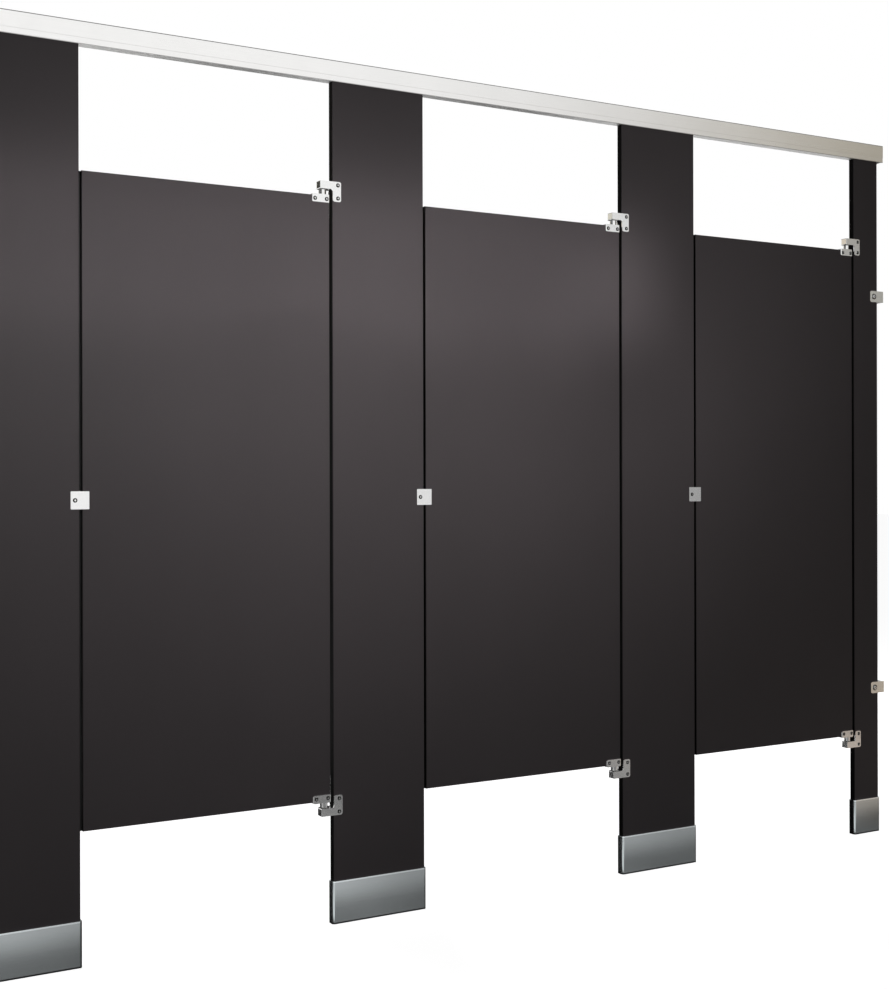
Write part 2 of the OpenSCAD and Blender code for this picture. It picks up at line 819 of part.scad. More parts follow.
// Pads behind the strike plates, and strips on the pilasters' edges that close the gaps to the doors
module door_seals() {
    pad_z = strike_h / 2 - pad_margin;
    strip_z = strike_h / 2 + seam;
    strip_x = latch_gap - seal_gap;
    strip_back = board_mid + seal_t;
    color([0.1, 0.1, 0.1])
    placed() for (i = [0:doors - 1]) at_latch(i) {
        block([latch_gap + board_chamfer, -relief_t, -pad_z], [strike_w / 2 - edge_r, -seam, pad_z]);
        block([0, board_mid, door_bottom - latch_z], [strip_x, strip_back, -strip_z]);
        block([0, board_mid, strip_z], [strip_x, strip_back, door_top - latch_z]);
    }
}

module latch_case(i) {
    flange_z = case_h / 2 + case_flange;
    room_z = slide_h / 2 + slide_play;
    slot_r = stem_d / 2 + stem_play;
    case_end = case_x + case_l;
    color([0.82, 0.82, 0.82])
    at_latch(i) difference() {
        union() {
            slab_xz(board_t, board_t + case_base_t)
                rounded_rect([case_x, -flange_z], [case_end, flange_z], plate_r);
            slab_xz(board_t, case_back) rounded_rect([case_x, -case_h / 2], [case_end, case_h / 2], plate_r);
        }
        block([case_x - over, slide_front - slide_play, -room_z],
              [case_end + over, slide_back + slide_play, room_z]);
        slab_xz(slide_back, case_back + over) {
            rect([knob_x - slide_travel, -slot_r], [knob_x, slot_r]);
            for (x = [knob_x - slide_travel, knob_x]) translate([x, 0]) circle(slot_r);
        }
        at_case_screws() screw_bore(case_base_t + over);
    }
}

// Slide bolt with its knob on a stem
module slide_bolt(i) {
    color([0.8, 0.8, 0.8])
    at_latch(i) {
        slab_yz(case_x, case_x + slide_l)
            translate([slide_front, -slide_h / 2]) chamfered_rect(slide_t, slide_h, edge_r);
        translate([knob_x, slide_back - over, 0]) along_y()
            cylinder(d = stem_d, h = knob_y - slide_back + 2 * over);
        translate([knob_x, knob_y, 0]) along_y() cylinder(d = knob_d, h = knob_t);
    }
}

// ---- Coat hooks ----

module coat_hook(i) {
    color([0.8, 0.8, 0.8])
    at_hook(i) difference() {
        union() {
            slab_xz(0, hook_base_t)
                rounded_rect([-hook_base_w / 2, -hook_base_h / 2], [hook_base_w / 2, hook_base_h / 2], plate_r);
            translate([0, 0, hook_post_z]) along_y() cylinder(d = hook_post_d, h = hook_post_l);
            translate([0, 0, prong_z]) hook_prong();
        }
        at_hook_screws() screw_bore(hook_base_t + over);
    }
}

// Prong that runs out along Y and turns up to a round tip
module hook_prong() {
    along_y() cylinder(d = prong_d, h = prong_l);
    translate([0, prong_l, prong_r]) rotate([0, 90, 0]) rotate_extrude(angle = 90)
        translate([prong_r, 0]) circle(d = prong_d);
    translate([0, prong_l + prong_r, prong_r]) sphere(d = prong_d);
}

module hook_bumper(i) {
    color([0.1, 0.1, 0.1])
    at_hook(i) translate([0, hook_post_l - bumper_sink, hook_post_z]) along_y() difference() {
        cylinder(d = bumper_d, h = bumper_l);
        translate([0, 0, -over]) cylinder(d = hook_post_d + 2 * bolt_play, h = bumper_sink + over);
    }
}

// ---- Fasteners ----

module pilaster_bolts() {
    color([0.85, 0.85, 0.85])
    placed() {
        for (i = [0:doors - 1], side = sides) at_hinge(i, side) at_bracket_bolts() through_bolt(panel_grip);
        for (i = [0:doors - 1]) at_latch(i) at_strike_bolt() through_bolt(keeper_grip);
        at_wall_bolts() through_bolt(panel_grip, wall_head_d);
    }
}

module divider_bolts() {
    color([0.85, 0.85, 0.85])
    placed() for (i = [0:doors - 1]) {
        at_front_brackets(i) at_base_holes(front_hole_pitch) blind_screw(plate_t + blind_l - tip_gap);
        at_front_brackets(i) at_ear_bolt() through_bolt(divider_grip);
        at_wall_brackets(i) at_ear_bolt() through_bolt(divider_grip);
    }
}

module door_bolts(i) {
    color([0.85, 0.85, 0.85]) {
        for (side = sides) at_hinge(i, side) at_leaf_bolts() through_bolt(panel_grip);
        at_latch(i) at_case_screws() blind_screw(case_base_t + blind_l - tip_gap);
        at_hook(i) at_hook_screws() blind_screw(hook_base_t + blind_l - tip_gap);
    }
}

// ---- Nodes of what repeats ----

module pilaster_1() { placed() pilaster(0); }
module pilaster_2() { placed() pilaster(1); }
module pilaster_3() { placed() pilaster(2); }
module pilaster_4() { placed() pilaster(3); }
module shoe_1() { placed() shoe(0); }
module shoe_2() { placed() shoe(1); }
module shoe_3() { placed() shoe(2); }
module shoe_4() { placed() shoe(3); }
module divider_1() { placed() divider(0); }
module divider_2() { placed() divider(1); }
module divider_3() { placed() divider(2); }
module upper_hinge_bracket_1() { placed() hinge_bracket(0, 1); }
module upper_hinge_bracket_2() { placed() hinge_bracket(1, 1); }
module upper_hinge_bracket_3() { placed() hinge_bracket(2, 1); }
module lower_hinge_bracket_1() { placed() hinge_bracket(0, -1); }
module lower_hinge_bracket_2() { placed() hinge_bracket(1, -1); }
module lower_hinge_bracket_3() { placed() hinge_bracket(2, -1); }
module strike_keeper_1() { placed() strike_keeper(0); }
module strike_keeper_2() { placed() strike_keeper(1); }
module strike_keeper_3() { placed() strike_keeper(2); }
module door_panel_1() { placed() door_panel(0); }
module door_panel_2() { placed() door_panel(1); }
module door_panel_3() { placed() door_panel(2); }
module upper_leaf_1() { placed() hinge_leaf(0, 1); }
module upper_leaf_2() { placed() hinge_leaf(1, 1); }
module upper_leaf_3() { placed() hinge_leaf(2, 1); }
module lower_leaf_1() { placed() hinge_leaf(0, -1); }
module lower_leaf_2() { placed() hinge_leaf(1, -1); }
module lower_leaf_3() { placed() hinge_leaf(2, -1); }
module hinge_bushings_1() { placed() hinge_bushings(0); }
module hinge_bushings_2() { placed() hinge_bushings(1); }
module hinge_bushings_3() { placed() hinge_bushings(2); }
module door_bolts_1() { placed() door_bolts(0); }
module door_bolts_2() { placed() door_bolts(1); }
module door_bolts_3() { placed() door_bolts(2); }
module latch_case_1() { placed() latch_case(0); }
module latch_case_2() { placed() latch_case(1); }
module latch_case_3() { placed() latch_case(2); }
module slide_bolt_1() { placed() slide_bolt(0); }
module slide_bolt_2() { placed() slide_bolt(1); }
module slide_bolt_3() { placed() slide_bolt(2); }
module coat_hook_1() { placed() coat_hook(0); }
module coat_hook_2() { placed() coat_hook(1); }
module coat_hook_3() { placed() coat_hook(2); }
module hook_bumper_1() { placed() hook_bumper(0); }
module hook_bumper_2() { placed() hook_bumper(1); }
module hook_bumper_3() { placed() hook_bumper(2); }

pilaster_1();
pilaster_2();
pilaster_3();
pilaster_4();
shoe_1();
shoe_2();
shoe_3();
shoe_4();
anchor_plates();
levelling_studs();
headrail();
headrail_covers();
headrail_wall_bracket();
headrail_screws();
divider_1();
divider_2();
divider_3();
divider_front_brackets();
divider_wall_brackets();
divider_bolts();
pilaster_wall_brackets();
upper_hinge_bracket_1();
upper_hinge_bracket_2();
upper_hinge_bracket_3();
lower_hinge_bracket_1();
lower_hinge_bracket_2();
lower_hinge_bracket_3();
hinge_pins();
pilaster_bolts();
strike_keeper_1();
strike_keeper_2();
strike_keeper_3();
door_seals();
door_panel_1();
door_panel_2();
door_panel_3();
upper_leaf_1();
upper_leaf_2();
upper_leaf_3();
lower_leaf_1();
lower_leaf_2();
lower_leaf_3();
hinge_bushings_1();
hinge_bushings_2();
hinge_bushings_3();
door_bolts_1();
door_bolts_2();
door_bolts_3();
latch_case_1();
latch_case_2();
latch_case_3();
slide_bolt_1();
slide_bolt_2();
slide_bolt_3();
coat_hook_1();
coat_hook_2();
coat_hook_3();
hook_bumper_1();
hook_bumper_2();
hook_bumper_3();
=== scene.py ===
import json
import math

import bpy
from mathutils import Matrix, Vector


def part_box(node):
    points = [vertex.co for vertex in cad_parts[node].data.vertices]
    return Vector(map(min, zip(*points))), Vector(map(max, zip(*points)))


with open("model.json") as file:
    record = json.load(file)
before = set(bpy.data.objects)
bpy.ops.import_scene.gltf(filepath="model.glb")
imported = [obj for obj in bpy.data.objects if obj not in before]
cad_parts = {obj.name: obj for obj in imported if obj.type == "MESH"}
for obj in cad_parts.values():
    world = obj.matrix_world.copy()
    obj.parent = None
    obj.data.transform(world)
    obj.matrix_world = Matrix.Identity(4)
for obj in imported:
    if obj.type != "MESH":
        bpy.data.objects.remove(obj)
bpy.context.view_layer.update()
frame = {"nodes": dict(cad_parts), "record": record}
nodes = frame["nodes"]

X, Y, Z = "X", "Y", "Z"
AXES = (X, Y, Z)
WHITE = (1, 1, 1)

AMBIENT = 0.036
FLOOR_GLOW = 0.93
# Name, place, target, width, height, spread in degrees, power in watts
LAMPS = [
    ("front_wide", (-0.6, -2.4, 1.4), (-0.6, -0.76, 1.2), 1.6, 0.4, 75, 2.25),
    ("front_upper", (-0.6, -2.4, 1.55), (-0.6, -0.76, 1.55), 1.6, 0.4, 40, 1.02),
    ("front_band", (-0.45, -2.4, 1.62), (-0.45, -0.76, 1.62), 1.9, 0.3, 12, 0.79),
    ("middle_band", (-0.08, -2.4, 1.62), (-0.08, -0.76, 1.62), 0.7, 0.36, 15, 0.18),
    ("middle", (0.1, -2.4, 1.2), (0.1, -0.76, 1.2), 1.0, 0.7, 40, 0.3),
    ("right_upper", (0.3, -2.4, 1.5), (0.3, -0.76, 1.5), 1.3, 0.7, 55, 1.34),
    ("back_fill", (0.0, 4.2, 1.9), (0.0, 0.0, 1.1), 3.0, 1.6, 180, 95),
    ("left_fill", (-4.6, 0.7, 1.6), (-1.4, 0.1, 1.1), 1.8, 1.6, 180, 45),
    ("right_fill", (4.6, 0.7, 1.6), (1.4, 0.1, 1.1), 1.8, 1.6, 180, 45),
]


# ---- Node graphs ----

# Nearly all of a noise lies between these two values
NOISE_LOW, NOISE_HIGH = 0.3, 0.7


class Graph:
    """The nodes of one material. Most methods add a node and return its output socket."""

    def __init__(self, name):
        self.material = bpy.data.materials.new(name)
        self.material.use_nodes = True
        self.tree = self.material.node_tree
        self.tree.nodes.clear()
        self.shader = self.tree.nodes.new("ShaderNodeBsdfPrincipled")
        out = self.tree.nodes.new("ShaderNodeOutputMaterial")
        self.tree.links.new(self.shader.outputs["BSDF"], out.inputs["Surface"])
        coordinates = self.tree.nodes.new("ShaderNodeTexCoord")
        self.place = coordinates.outputs["Object"]
        self.normal = coordinates.outputs["Normal"]

    def put(self, node, socket, value):
        if isinstance(value, bpy.types.NodeSocket):
            self.tree.links.new(value, node.inputs[socket])
        else:
            node.inputs[socket].default_value = value

    def set(self, **values):
        """Sets or links the shader's own sockets; an underscore stands for a space."""
        for socket, value in values.items():
            self.put(self.shader, socket.replace("_", " "), value)

    def math(self, operation, a, b=0.0):
        node = self.tree.nodes.new("ShaderNodeMath")
        node.operation = operation
        self.put(node, 0, a)
        self.put(node, 1, b)
        return node.outputs[0]

    def product(self, first, *others):
        for other in others:
            first = self.math("MULTIPLY", first, other)
        return first

    def spread(self, value, low, high, out_low=0.0, out_high=1.0):
        """Maps value from low..high to out_low..out_high, clamped."""
        node = self.tree.nodes.new("ShaderNodeMapRange")
        node.inputs["From Min"].default_value = low
        node.inputs["From Max"].default_value = high
        node.inputs["To Min"].default_value = out_low
        node.inputs["To Max"].default_value = out_high
        self.put(node, "Value", value)
        return node.outputs["Result"]

    def vary(self, noise, out_low, out_high):
        """Maps a noise to out_low..out_high."""
        return self.spread(noise, NOISE_LOW, NOISE_HIGH, out_low, out_high)

    def noise(self, scale, detail=2.0, roughness=0.5, seed=0.0):
        """Noise with scale cycles a metre: one number, or one each along X, Y and Z."""
        mapping = self.tree.nodes.new("ShaderNodeMapping")
        mapping.inputs["Scale"].default_value = each_way(scale)
        mapping.inputs["Location"].default_value = each_way(seed)
        self.tree.links.new(self.place, mapping.inputs["Vector"])
        node = self.tree.nodes.new("ShaderNodeTexNoise")
        node.inputs["Scale"].default_value = 1.0
        node.inputs["Detail"].default_value = detail
        node.inputs["Roughness"].default_value = roughness
        self.tree.links.new(mapping.outputs["Vector"], node.inputs["Vector"])
        return node.outputs["Fac"]

    def part(self, vector, axis):
        node = self.tree.nodes.new("ShaderNodeSeparateXYZ")
        self.tree.links.new(vector, node.inputs[0])
        return node.outputs[axis]

    def tint(self, colour, factor):
        """colour times a varying factor."""
        node = self.tree.nodes.new("ShaderNodeVectorMath")
        node.operation = "SCALE"
        self.put(node, 0, colour)
        self.put(node, "Scale", factor)
        return node.outputs[0]

    def blend(self, share, a, b):
        """Colour a where share is 0 and colour b where it is 1."""
        node = self.tree.nodes.new("ShaderNodeMix")
        node.data_type = "RGBA"
        self.put(node, "Factor", share)
        colour_a, colour_b, result = 6, 7, 2
        self.put(node, colour_a, a if isinstance(a, bpy.types.NodeSocket) else (*a, 1))
        self.put(node, colour_b, b if isinstance(b, bpy.types.NodeSocket) else (*b, 1))
        return node.outputs[result]

    def bump(self, height, distance):
        node = self.tree.nodes.new("ShaderNodeBump")
        node.inputs["Distance"].default_value = distance
        node.inputs["Strength"].default_value = 1.0
        self.tree.links.new(height, node.inputs["Height"])
        return node.outputs["Normal"]


def each_way(value):
    """The same number along X, Y and Z, unless value has three already."""
    return (value, value, value) if isinstance(value, (int, float)) else value


# ---- Materials ----

DECOR, DECOR_ROUGHNESS, DECOR_SPECULAR = (0.0945, 0.081, 0.0855), 0.46, 0.15
CORE, CORE_ROUGHNESS, CORE_SPECULAR = (0.006, 0.0055, 0.0055), 0.5, 0.02
# Cycles a metre of the core's layers, along and through them
LAYER_LENGTH, LAYER_PITCH = 6.0, 1100.0
# How far a normal's part square to the board goes from the core to the decor
EDGE_NORMAL, FACE_NORMAL = 0.6, 0.85
BOARD_TEXTURE = 0.00004

METAL_STAIN = 0.03
METAL_ROUGHNESS_RANGE = 0.03
# A domed head's largest part of the normal, on its slopes and at its crown: the painted shade on its slopes is full
# at the first and gone at the second
SLOPE_NORMAL, CROWN_NORMAL = 0.92, 0.985

PLASTIC_ROUGHNESS_RANGE = 0.05
PLASTIC_SPECULAR = 0.4
PLASTIC_TEXTURE = 0.00002


def board_material(name, face_axis):
    """Compact laminate: charcoal faces square to face_axis, a black layered core at the edges."""
    g = Graph(name)
    face = g.math("ABSOLUTE", g.part(g.normal, face_axis))
    face = g.spread(face, EDGE_NORMAL, FACE_NORMAL)
    cloud = g.vary(g.noise((2.5, 2.5, 1.6), 3), 0.95, 1.05)
    grain = g.vary(g.noise(900, 2, seed=3), 0.9, 1.1)
    decor = g.tint(DECOR, g.product(cloud, grain))
    layer_scale = [LAYER_LENGTH] * len(AXES)
    layer_scale[AXES.index(face_axis)] = LAYER_PITCH
    layers = g.spread(g.noise(layer_scale, 2, seed=7), 0.4, 0.6, 0.6, 1.5)
    core = g.tint(CORE, layers)
    smear = g.vary(g.noise((9, 9, 3), 4, 0.6, seed=11), -0.035, 0.035)
    g.set(
        Base_Color=g.blend(face, core, decor),
        Roughness=g.math("ADD", g.spread(face, 0, 1, CORE_ROUGHNESS, DECOR_ROUGHNESS), smear),
        Specular_IOR_Level=g.spread(face, 0, 1, CORE_SPECULAR, DECOR_SPECULAR),
        Normal=g.bump(g.noise(650, 3, seed=5), BOARD_TEXTURE),
    )
    return g.material


def metal_material(name, colour, roughness, grain, depth, stain=METAL_STAIN, painted_slope_shade=1.0, painted_bands=(), repeat=None):
    """Metal with fine grinding marks: grain is their cycles a metre, and depth their depth.

    stain is how much its darkest clouds take off its colour. A slope factor below 1 paints shade onto the slopes of
    a domed head and sets how bright they stay.
    Each band paints light or shade: an axis, two places along it and the brightness factor at each. With repeat,
    the places along X are counted from its first value again and again, at steps of its second.
    """
    g = Graph(name)
    marks = g.noise(grain, 3, 0.6, seed=2)
    cloud = g.vary(g.noise(14, 3, seed=9), 1 - stain, 1.0)
    line = g.vary(marks, 0.975, 1.02)
    shade = g.product(cloud, line)
    # Painted shade: the slopes of a domed head darken towards its rim
    if painted_slope_shade < 1:
        x, y, z = (g.math("ABSOLUTE", g.part(g.normal, axis)) for axis in AXES)
        largest = g.math("MAXIMUM", x, g.math("MAXIMUM", y, z))
        shade = g.product(shade, g.spread(largest, SLOPE_NORMAL, CROWN_NORMAL, painted_slope_shade, 1.0))
    # Painted light and shade: each band brightens or darkens the surface along one axis
    for axis, low, high, low_factor, high_factor in painted_bands:
        along = g.part(g.place, axis)
        if repeat and axis == X:
            start, step = repeat
            along = g.math("FLOORED_MODULO", g.math("SUBTRACT", along, start), step)
        shade = g.product(shade, g.spread(along, low, high, low_factor, high_factor))
    g.set(
        Base_Color=g.tint(colour, shade),
        Metallic=1.0,
        Roughness=g.vary(marks, roughness - METAL_ROUGHNESS_RANGE, roughness + METAL_ROUGHNESS_RANGE),
        Normal=g.bump(marks, depth),
    )
    return g.material


def plastic_material(name, colour, roughness, grain):
    """Moulded plastic or rubber: grain is its texture's cycles a metre."""
    g = Graph(name)
    moulding = g.noise(grain, 2, seed=6)
    cloud = g.vary(g.noise(60, 2), 0.9, 1.1)
    g.set(
        Base_Color=g.tint(colour, cloud),
        Roughness=g.vary(moulding, roughness - PLASTIC_ROUGHNESS_RANGE, roughness + PLASTIC_ROUGHNESS_RANGE),
        Specular_IOR_Level=PLASTIC_SPECULAR,
        Normal=g.bump(moulding, PLASTIC_TEXTURE),
    )
    return g.material


SHOE_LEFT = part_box("shoe_1")[0][0]
SHOE_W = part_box("shoe_1")[1][0] - SHOE_LEFT
SHOE_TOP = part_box("shoe_1")[1][2]
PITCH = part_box("shoe_2")[0][0] - SHOE_LEFT
# Brightness factors of the shoes' painted highlight along their top edge, painted shadow along their foot and
# painted shade along their right edge
TOP_HIGHLIGHT, FOOT_SHADOW, RIGHT_EDGE_SHADE = 1.58, 0.04, 0.1
SHOE_LINES = [
    (Z, SHOE_TOP - 0.0038, SHOE_TOP - 0.0028, 1, TOP_HIGHLIGHT),
    (Z, 0.003, 0.0042, FOOT_SHADOW, 1),
    (X, SHOE_W - 0.006, SHOE_W - 0.0045, 1, RIGHT_EDGE_SHADE),
]

RAIL_LOW, RAIL_TOP = (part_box("headrail")[end][2] for end in (0, 1))
# Brightness factors of the painted shade lines along the rail's top edge and along its lower lip
TOP_SHADE_LINE, LIP_SHADE_LINE = 0.22, 0.5
RAIL_LINES = [
    (Z, RAIL_TOP - 0.003, RAIL_TOP - 0.0022, 1, TOP_SHADE_LINE),
    (Z, RAIL_LOW + 0.0014, RAIL_LOW + 0.002, LIP_SHADE_LINE, 1),
]

# Painted light: the wall brackets are a little paler past the last pilaster
WALL_SIDE_LIGHT = [(X, 1.3575, 1.3585, 1.0, 1.02)]

SLOTS = {
    "rail_aluminium": metal_material(
        "rail_aluminium", (0.92, 0.915, 0.905), 0.3, (3, 1600, 1600), 0.000004, painted_bands=RAIL_LINES),
    "shoe_steel": metal_material(
        "shoe_steel", (0.59, 0.63, 0.64), 0.24, (5, 1500, 1500), 0.000003, painted_bands=SHOE_LINES,
        repeat=(SHOE_LEFT, PITCH)),
    "hinge_chrome": metal_material("hinge_chrome", (0.88, 0.88, 0.875), 0.17, 260, 0.000002),
    "latch_chrome": metal_material("latch_chrome", (0.86, 0.86, 0.865), 0.15, 260, 0.000002),
    "bracket_steel": metal_material(
        "bracket_steel", (0.98, 0.97, 0.91), 0.2, (30, 30, 1300), 0.000003, painted_bands=WALL_SIDE_LIGHT),
    # Painted shade: the bolt heads' domed slopes are nearly black
    "bolt_steel": metal_material("bolt_steel", (0.86, 0.86, 0.85), 0.1, 500, 0.000001, painted_slope_shade=0.02),
    "pin_steel": metal_material("pin_steel", (0.6, 0.6, 0.6), 0.16, (40, 40, 2600), 0.000004, stain=0.06),
    "zinc_steel": metal_material("zinc_steel", (0.52, 0.52, 0.48), 0.38, 90, 0.00002, stain=0.2),
    "nylon": plastic_material("nylon", (0.30, 0.30, 0.29), 0.42, 1800),
    "rubber": plastic_material("rubber", (0.02, 0.02, 0.02), 0.7, 900),
}
COVER_METAL = metal_material("cover_aluminium", (0.8, 0.8, 0.79), 0.55, (3, 1600, 1600), 0.000004)
FRONT_BOARD = board_material("board_front", Y)
DIVIDER_BOARD = board_material("board_divider", X)


def dress(name, slot):
    """Gives a CAD node its slot's material."""
    if slot == "board":
        chosen = DIVIDER_BOARD if name.startswith("divider") else FRONT_BOARD
    elif name == "headrail_covers":
        chosen = COVER_METAL
    else:
        chosen = SLOTS[slot]
    mesh = nodes[name].data
    mesh.materials.clear()
    mesh.materials.append(chosen)


# ---- Soft edges ----

# Largest angle between faces that count as one, and smallest at an edge that is rounded
FLAT_ANGLE, SHARP_ANGLE = math.radians(1.5), math.radians(40)
BEVEL_SEGMENTS = 3
HARDWARE_EDGE, STRIKE_EDGE, SHOE_EDGE = 0.0006, 0.0009, 0.0014
# Bevel widths by the start of the node's name, which may end in a number
SOFT_EDGES = {
    "upper_hinge_bracket": HARDWARE_EDGE, "lower_hinge_bracket": HARDWARE_EDGE,
    "upper_leaf": HARDWARE_EDGE, "lower_leaf": HARDWARE_EDGE,
    "strike_keeper": STRIKE_EDGE, "pilaster_wall_brackets": HARDWARE_EDGE,
    "shoe": SHOE_EDGE, "headrail": HARDWARE_EDGE,
}


def soften(name, width):
    """Rounds a node's sharp edges by a small bevel."""
    piece = nodes[name]
    merge = piece.modifiers.new("flat_faces", "DECIMATE")
    merge.decimate_type = "DISSOLVE"
    merge.angle_limit = FLAT_ANGLE
    bevel = piece.modifiers.new("soft_edges", "BEVEL")
    bevel.width = width
    bevel.segments = BEVEL_SEGMENTS
    bevel.limit_method = "ANGLE"
    bevel.angle_limit = SHARP_ANGLE
    bevel.harden_normals = True
    bevel.use_clamp_overlap = True


for entry in frame["record"]["subparts"]:
    node_name = entry["node"]
    dress(node_name, entry["material_slot"])
    for start, width in SOFT_EDGES.items():
        if node_name == start or node_name.startswith(start + "_") and node_name[len(start) + 1:].isdigit():
            soften(node_name, width)


# ---- Floor and reflection cards ----

# The cards stand round the row: their left, right, front and back ends, and their top
LEFT, RIGHT, FRONT, SIDE_BACK, CARD_TOP = -9, 12, -6, 1, 7
FLOOR_REACH = 30.0
FLOOR_GREY = 0.8
# Just under the row's feet, one above the other
CARD_FLOOR_Z, FLOOR_Z = -0.0002, -0.0004


def plane(name, corners):
    mesh = bpy.data.meshes.new(name)
    mesh.from_pydata(corners, [], [(0, 1, 2, 3)])
    piece = bpy.data.objects.new(name, mesh)
    bpy.context.scene.collection.objects.link(piece)
    return piece


def level(left, right, front, back, z):
    """Corners of a level rectangle."""
    return [(left, front, z), (right, front, z), (right, back, z), (left, back, z)]


def upright(left, right, front, back, low, high):
    """Corners of an upright rectangle from (left, front) to (right, back)."""
    return [(left, front, low), (right, back, low), (right, back, high), (left, front, high)]


def make_floor():
    floor = plane("floor", level(-FLOOR_REACH, FLOOR_REACH, -FLOOR_REACH, FLOOR_REACH, 0))
    floor.location.z = FLOOR_Z
    material = bpy.data.materials.new("floor")
    material.use_nodes = True
    tree = material.node_tree
    tree.nodes.clear()
    paint = tree.nodes.new("ShaderNodeBsdfDiffuse")
    paint.inputs["Color"].default_value = (FLOOR_GREY, FLOOR_GREY, FLOOR_GREY, 1)
    glow = tree.nodes.new("ShaderNodeEmission")
    glow.inputs["Strength"].default_value = FLOOR_GLOW
    dark = tree.nodes.new("ShaderNodeEmission")
    dark.inputs["Strength"].default_value = 0.0
    seen = tree.nodes.new("ShaderNodeMixShader")
    both = tree.nodes.new("ShaderNodeAddShader")
    out = tree.nodes.new("ShaderNodeOutputMaterial")
    tree.links.new(straight_rays(tree), seen.inputs["Fac"])
    tree.links.new(dark.outputs[0], seen.inputs[1])
    tree.links.new(glow.outputs[0], seen.inputs[2])
    tree.links.new(paint.outputs[0], both.inputs[0])
    tree.links.new(seen.outputs[0], both.inputs[1])
    tree.links.new(both.outputs[0], out.inputs["Surface"])
    floor.data.materials.append(material)


def studio_card(name, corners, shade):
    """A card that only reflections show. shade(graph) gives its brightness and its tint."""
    card = plane(name, corners)
    g = Graph(name)
    brightness, tint = shade(g)
    g.tree.nodes.remove(g.shader)
    glow = g.tree.nodes.new("ShaderNodeEmission")
    g.put(glow, "Color", tint)
    g.put(glow, "Strength", brightness)
    g.tree.links.new(glow.outputs[0], g.tree.nodes["Material Output"].inputs["Surface"])
    card.data.materials.append(g.material)
    card.visible_camera = False
    card.visible_diffuse = False
    card.visible_transmission = False
    card.visible_volume_scatter = False
    card.visible_shadow = False


def far_wall_shade(g):
    """White, falling to grey at the right and low down, and black beyond both ends.

    High up, where the headrail mirrors it, the grey is darker and warm.
    """
    grey, black, high_shade, high_tint = 0.335, 0.06, 0.82, (1, 0.79, 0.38)
    low_heights, high_heights = (0.5, 2.6), (2.95, 3.4)
    fall_span, right_end, left_end = (2.6, 7.1), (8.2, 10.0), (-6.5, -4.5)
    wall_x, height = g.part(g.place, X), g.part(g.place, Z)
    # The fall comes at a smaller X low on the wall
    along = g.product(wall_x, g.spread(height, *low_heights, 1.575, 1.0))
    fall = g.spread(along, *fall_span)
    brightness = g.product(
        g.spread(g.math("POWER", fall, 1.2), 0.0, 1.0, 1.0, grey),
        g.spread(along, *right_end, 1.0, black),
        g.spread(wall_x, *left_end, black, 1.0),
    )
    warmth = g.product(g.spread(fall, 0.5, 1.0), g.spread(height, *high_heights))
    brightness = g.product(brightness, g.spread(warmth, 0.0, 1.0, 1.0, high_shade))
    return brightness, g.blend(warmth, WHITE, high_tint)


def floor_card_shade(g):
    """What the shoes mirror: a pale pool 1.2 m in front, greyer farther out, dark at the row's foot and behind it.

    Each shoe's left end mirrors the brightest part, and a bright patch at its left lights up its rounded corner.
    The last shoe mirrors a brighter and warmer floor that is darker at the foot.
    """
    # Brightness of the parts of the floor
    pool_bright, foot_dark, right_shade, behind_dark = 0.66, 0.16, 0.88, 0.15
    far_left, far_right = 0.30, 0.62
    shoe_right, shoe_left = 0.75, 1.35
    last_bright, last_foot_dark, last_tint = 1.3, 0.25, (1, 0.87, 0.76)
    # Where along Y one part gives way to the next
    far_edge, foot_edge, row_front = (-1.9, -1.2), (-1.10, -0.90), (-0.78, -0.74)

    along, out = g.part(g.place, X), g.part(g.place, Y)
    # How far a place is to the left of the next shoe at its right
    left = g.math("FLOORED_MODULO", g.math("SUBTRACT", SHOE_LEFT, along), PITCH)

    foot = g.product(g.spread(out, *foot_edge, pool_bright, foot_dark), g.spread(along, 0.0, 0.9, 1.0, right_shade))
    farther = g.spread(along, -0.1, 2.5, far_left, far_right)
    pool = g.spread(out, *far_edge)
    front = g.math("ADD", farther, g.product(g.math("SUBTRACT", 1.0, farther), pool))
    under_shoe = g.product(g.spread(left, 0.56, 0.6), g.spread(out, -0.4, -0.3, 1.0, 0.0))
    behind = g.math("MAXIMUM", g.spread(out, *row_front, 1.0, behind_dark), under_shoe)
    patches = g.spread(g.noise((2.2, 1.1, 1), 1, seed=4), 0.35, 0.65, 0.8, 1.15)
    brightness = g.product(foot, front, g.product(behind, patches))
    brightness = g.product(brightness, g.spread(left, 0.45, PITCH - 0.02, shoe_right, shoe_left))

    beside_shoe = g.product(g.spread(left, 0.0, 0.01), g.spread(left, 0.25, 0.3, 1.0, 0.0))
    before_row = g.product(g.spread(out, -1.4, -1.2), g.spread(out, -0.79, -0.78, 1.0, 0.0))
    brightness = g.math("MAXIMUM", brightness, g.product(beside_shoe, before_row))

    last = g.spread(along, 1.3, 1.6)
    last_foot = g.product(last, g.spread(out, -1.08, -0.92))
    brightness = g.product(brightness, g.spread(last, 0.0, 1.0, 1.0, last_bright))
    brightness = g.product(brightness, g.spread(last_foot, 0.0, 1.0, 1.0, last_foot_dark))
    return brightness, g.blend(last, WHITE, last_tint)


def back_shade(g):
    """Black at the left, pale yellow and then beige at the right, for the upper hinges' left sides."""
    black, pale = 0.03, 0.8
    pale_yellow, beige = (1, 0.97, 0.84), (0.92, 0.80, 0.64)
    pale_from, beige_from = (-1.1, -1.04), (-0.8, -0.6)
    along = g.part(g.place, X)
    warmth = g.spread(along, *beige_from)
    return g.spread(along, *pale_from, black, pale), g.blend(warmth, pale_yellow, beige)


def plain_shade(brightness):
    return lambda g: (brightness, (*WHITE, 1))


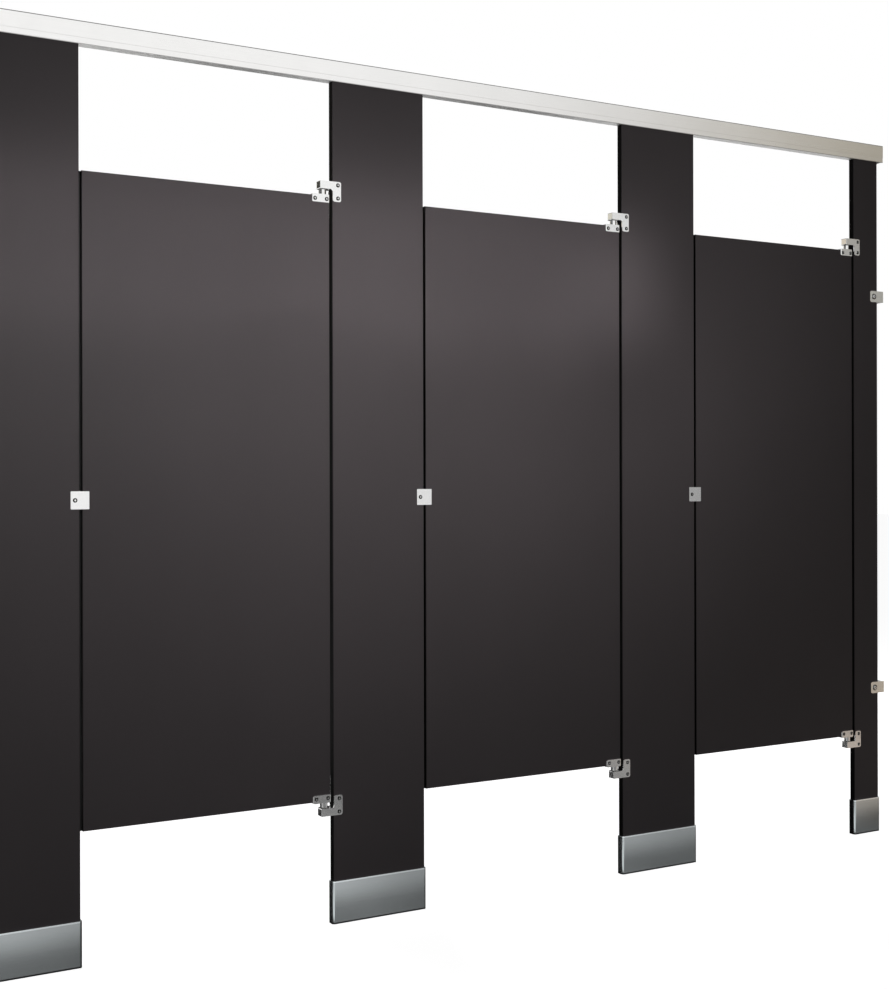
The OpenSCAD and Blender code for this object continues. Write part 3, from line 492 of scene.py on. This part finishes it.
def make_cards():
    dark, ceiling_grey, far_floor_grey = 0.05, 0.3, 0.22
    studio_card("far_floor_card", level(LEFT, 14, 4.5, 10, CARD_FLOOR_Z), plain_shade(far_floor_grey))
    studio_card("far_wall_card", upright(LEFT, RIGHT, FRONT, FRONT, 0, CARD_TOP), far_wall_shade)
    studio_card("right_card", upright(RIGHT, RIGHT, FRONT, SIDE_BACK, 0, CARD_TOP), plain_shade(dark))
    studio_card("left_card", upright(LEFT, LEFT, FRONT, SIDE_BACK, 0, CARD_TOP), plain_shade(dark))
    studio_card("ceiling_card", level(LEFT, RIGHT, -1.1, 3, 3.2), plain_shade(ceiling_grey))
    studio_card("floor_card", level(LEFT, RIGHT, FRONT, 0.9, CARD_FLOOR_Z), floor_card_shade)
    studio_card("back_card", upright(-4, -0.2, 0.9, 0.9, 1.9, 2.6), back_shade)


# ---- World, lamps and camera ----

def straight_rays(tree):
    """1 for camera, glossy and transmission rays."""
    path = tree.nodes.new("ShaderNodeLightPath")
    total = path.outputs["Is Camera Ray"]
    for other in ("Is Glossy Ray", "Is Transmission Ray"):
        node = tree.nodes.new("ShaderNodeMath")
        node.operation = "MAXIMUM"
        tree.links.new(total, node.inputs[0])
        tree.links.new(path.outputs[other], node.inputs[1])
        total = node.outputs[0]
    return total


def make_world():
    """White where it is seen or mirrored, and a weak light otherwise."""
    world = bpy.data.worlds.new("studio")
    world.use_nodes = True
    tree = world.node_tree
    tree.nodes.clear()
    light, backdrop = (tree.nodes.new("ShaderNodeBackground") for _ in range(2))
    for background, strength in ((light, AMBIENT), (backdrop, 1.0)):
        background.inputs["Color"].default_value = (*WHITE, 1)
        background.inputs["Strength"].default_value = strength
    mix = tree.nodes.new("ShaderNodeMixShader")
    out = tree.nodes.new("ShaderNodeOutputWorld")
    tree.links.new(straight_rays(tree), mix.inputs["Fac"])
    tree.links.new(light.outputs[0], mix.inputs[1])
    tree.links.new(backdrop.outputs[0], mix.inputs[2])
    tree.links.new(mix.outputs[0], out.inputs["Surface"])
    bpy.context.scene.world = world


def soft_light(name, place, target, width, height, spread, power):
    lamp = bpy.data.lights.new(name, "AREA")
    lamp.shape = "RECTANGLE"
    lamp.size = width
    lamp.size_y = height
    lamp.spread = math.radians(spread)
    lamp.energy = power
    lamp_object = bpy.data.objects.new(name, lamp)
    lamp_object.location = place
    lamp_object.rotation_mode = "QUATERNION"
    lamp_object.rotation_quaternion = (Vector(target) - Vector(place)).to_track_quat("-Z", "Y")
    lamp_object.visible_camera = False
    lamp_object.visible_glossy = False
    bpy.context.scene.collection.objects.link(lamp_object)


def make_camera():
    """The photograph's camera: level, 30 degrees off square, its frame drawn a little upwards."""
    place = (-2.0403, -3.9712, 1.0900)
    yaw, roll = -30.037, -0.129
    image_height = 989
    focal_pixels = 1454.9
    horizon_above_middle = 17.0
    sensor = 36.0
    data = bpy.data.cameras.new("camera")
    data.sensor_fit = "AUTO"
    data.sensor_width = sensor
    data.lens = focal_pixels * sensor / image_height
    data.shift_y = -horizon_above_middle / image_height
    camera = bpy.data.objects.new("camera", data)
    turn = Matrix.Rotation(math.radians(yaw), 4, "Z")
    level_view = Matrix.Rotation(math.radians(90), 4, "X")
    lean = Matrix.Rotation(math.radians(roll), 4, "Z")
    camera.matrix_world = Matrix.Translation(place) @ turn @ level_view @ lean
    bpy.context.scene.collection.objects.link(camera)
    bpy.context.scene.camera = camera


make_floor()
make_cards()
make_world()
for lamp_settings in LAMPS:
    soft_light(*lamp_settings)
make_camera()
bpy.context.scene.view_settings.view_transform = "Standard"
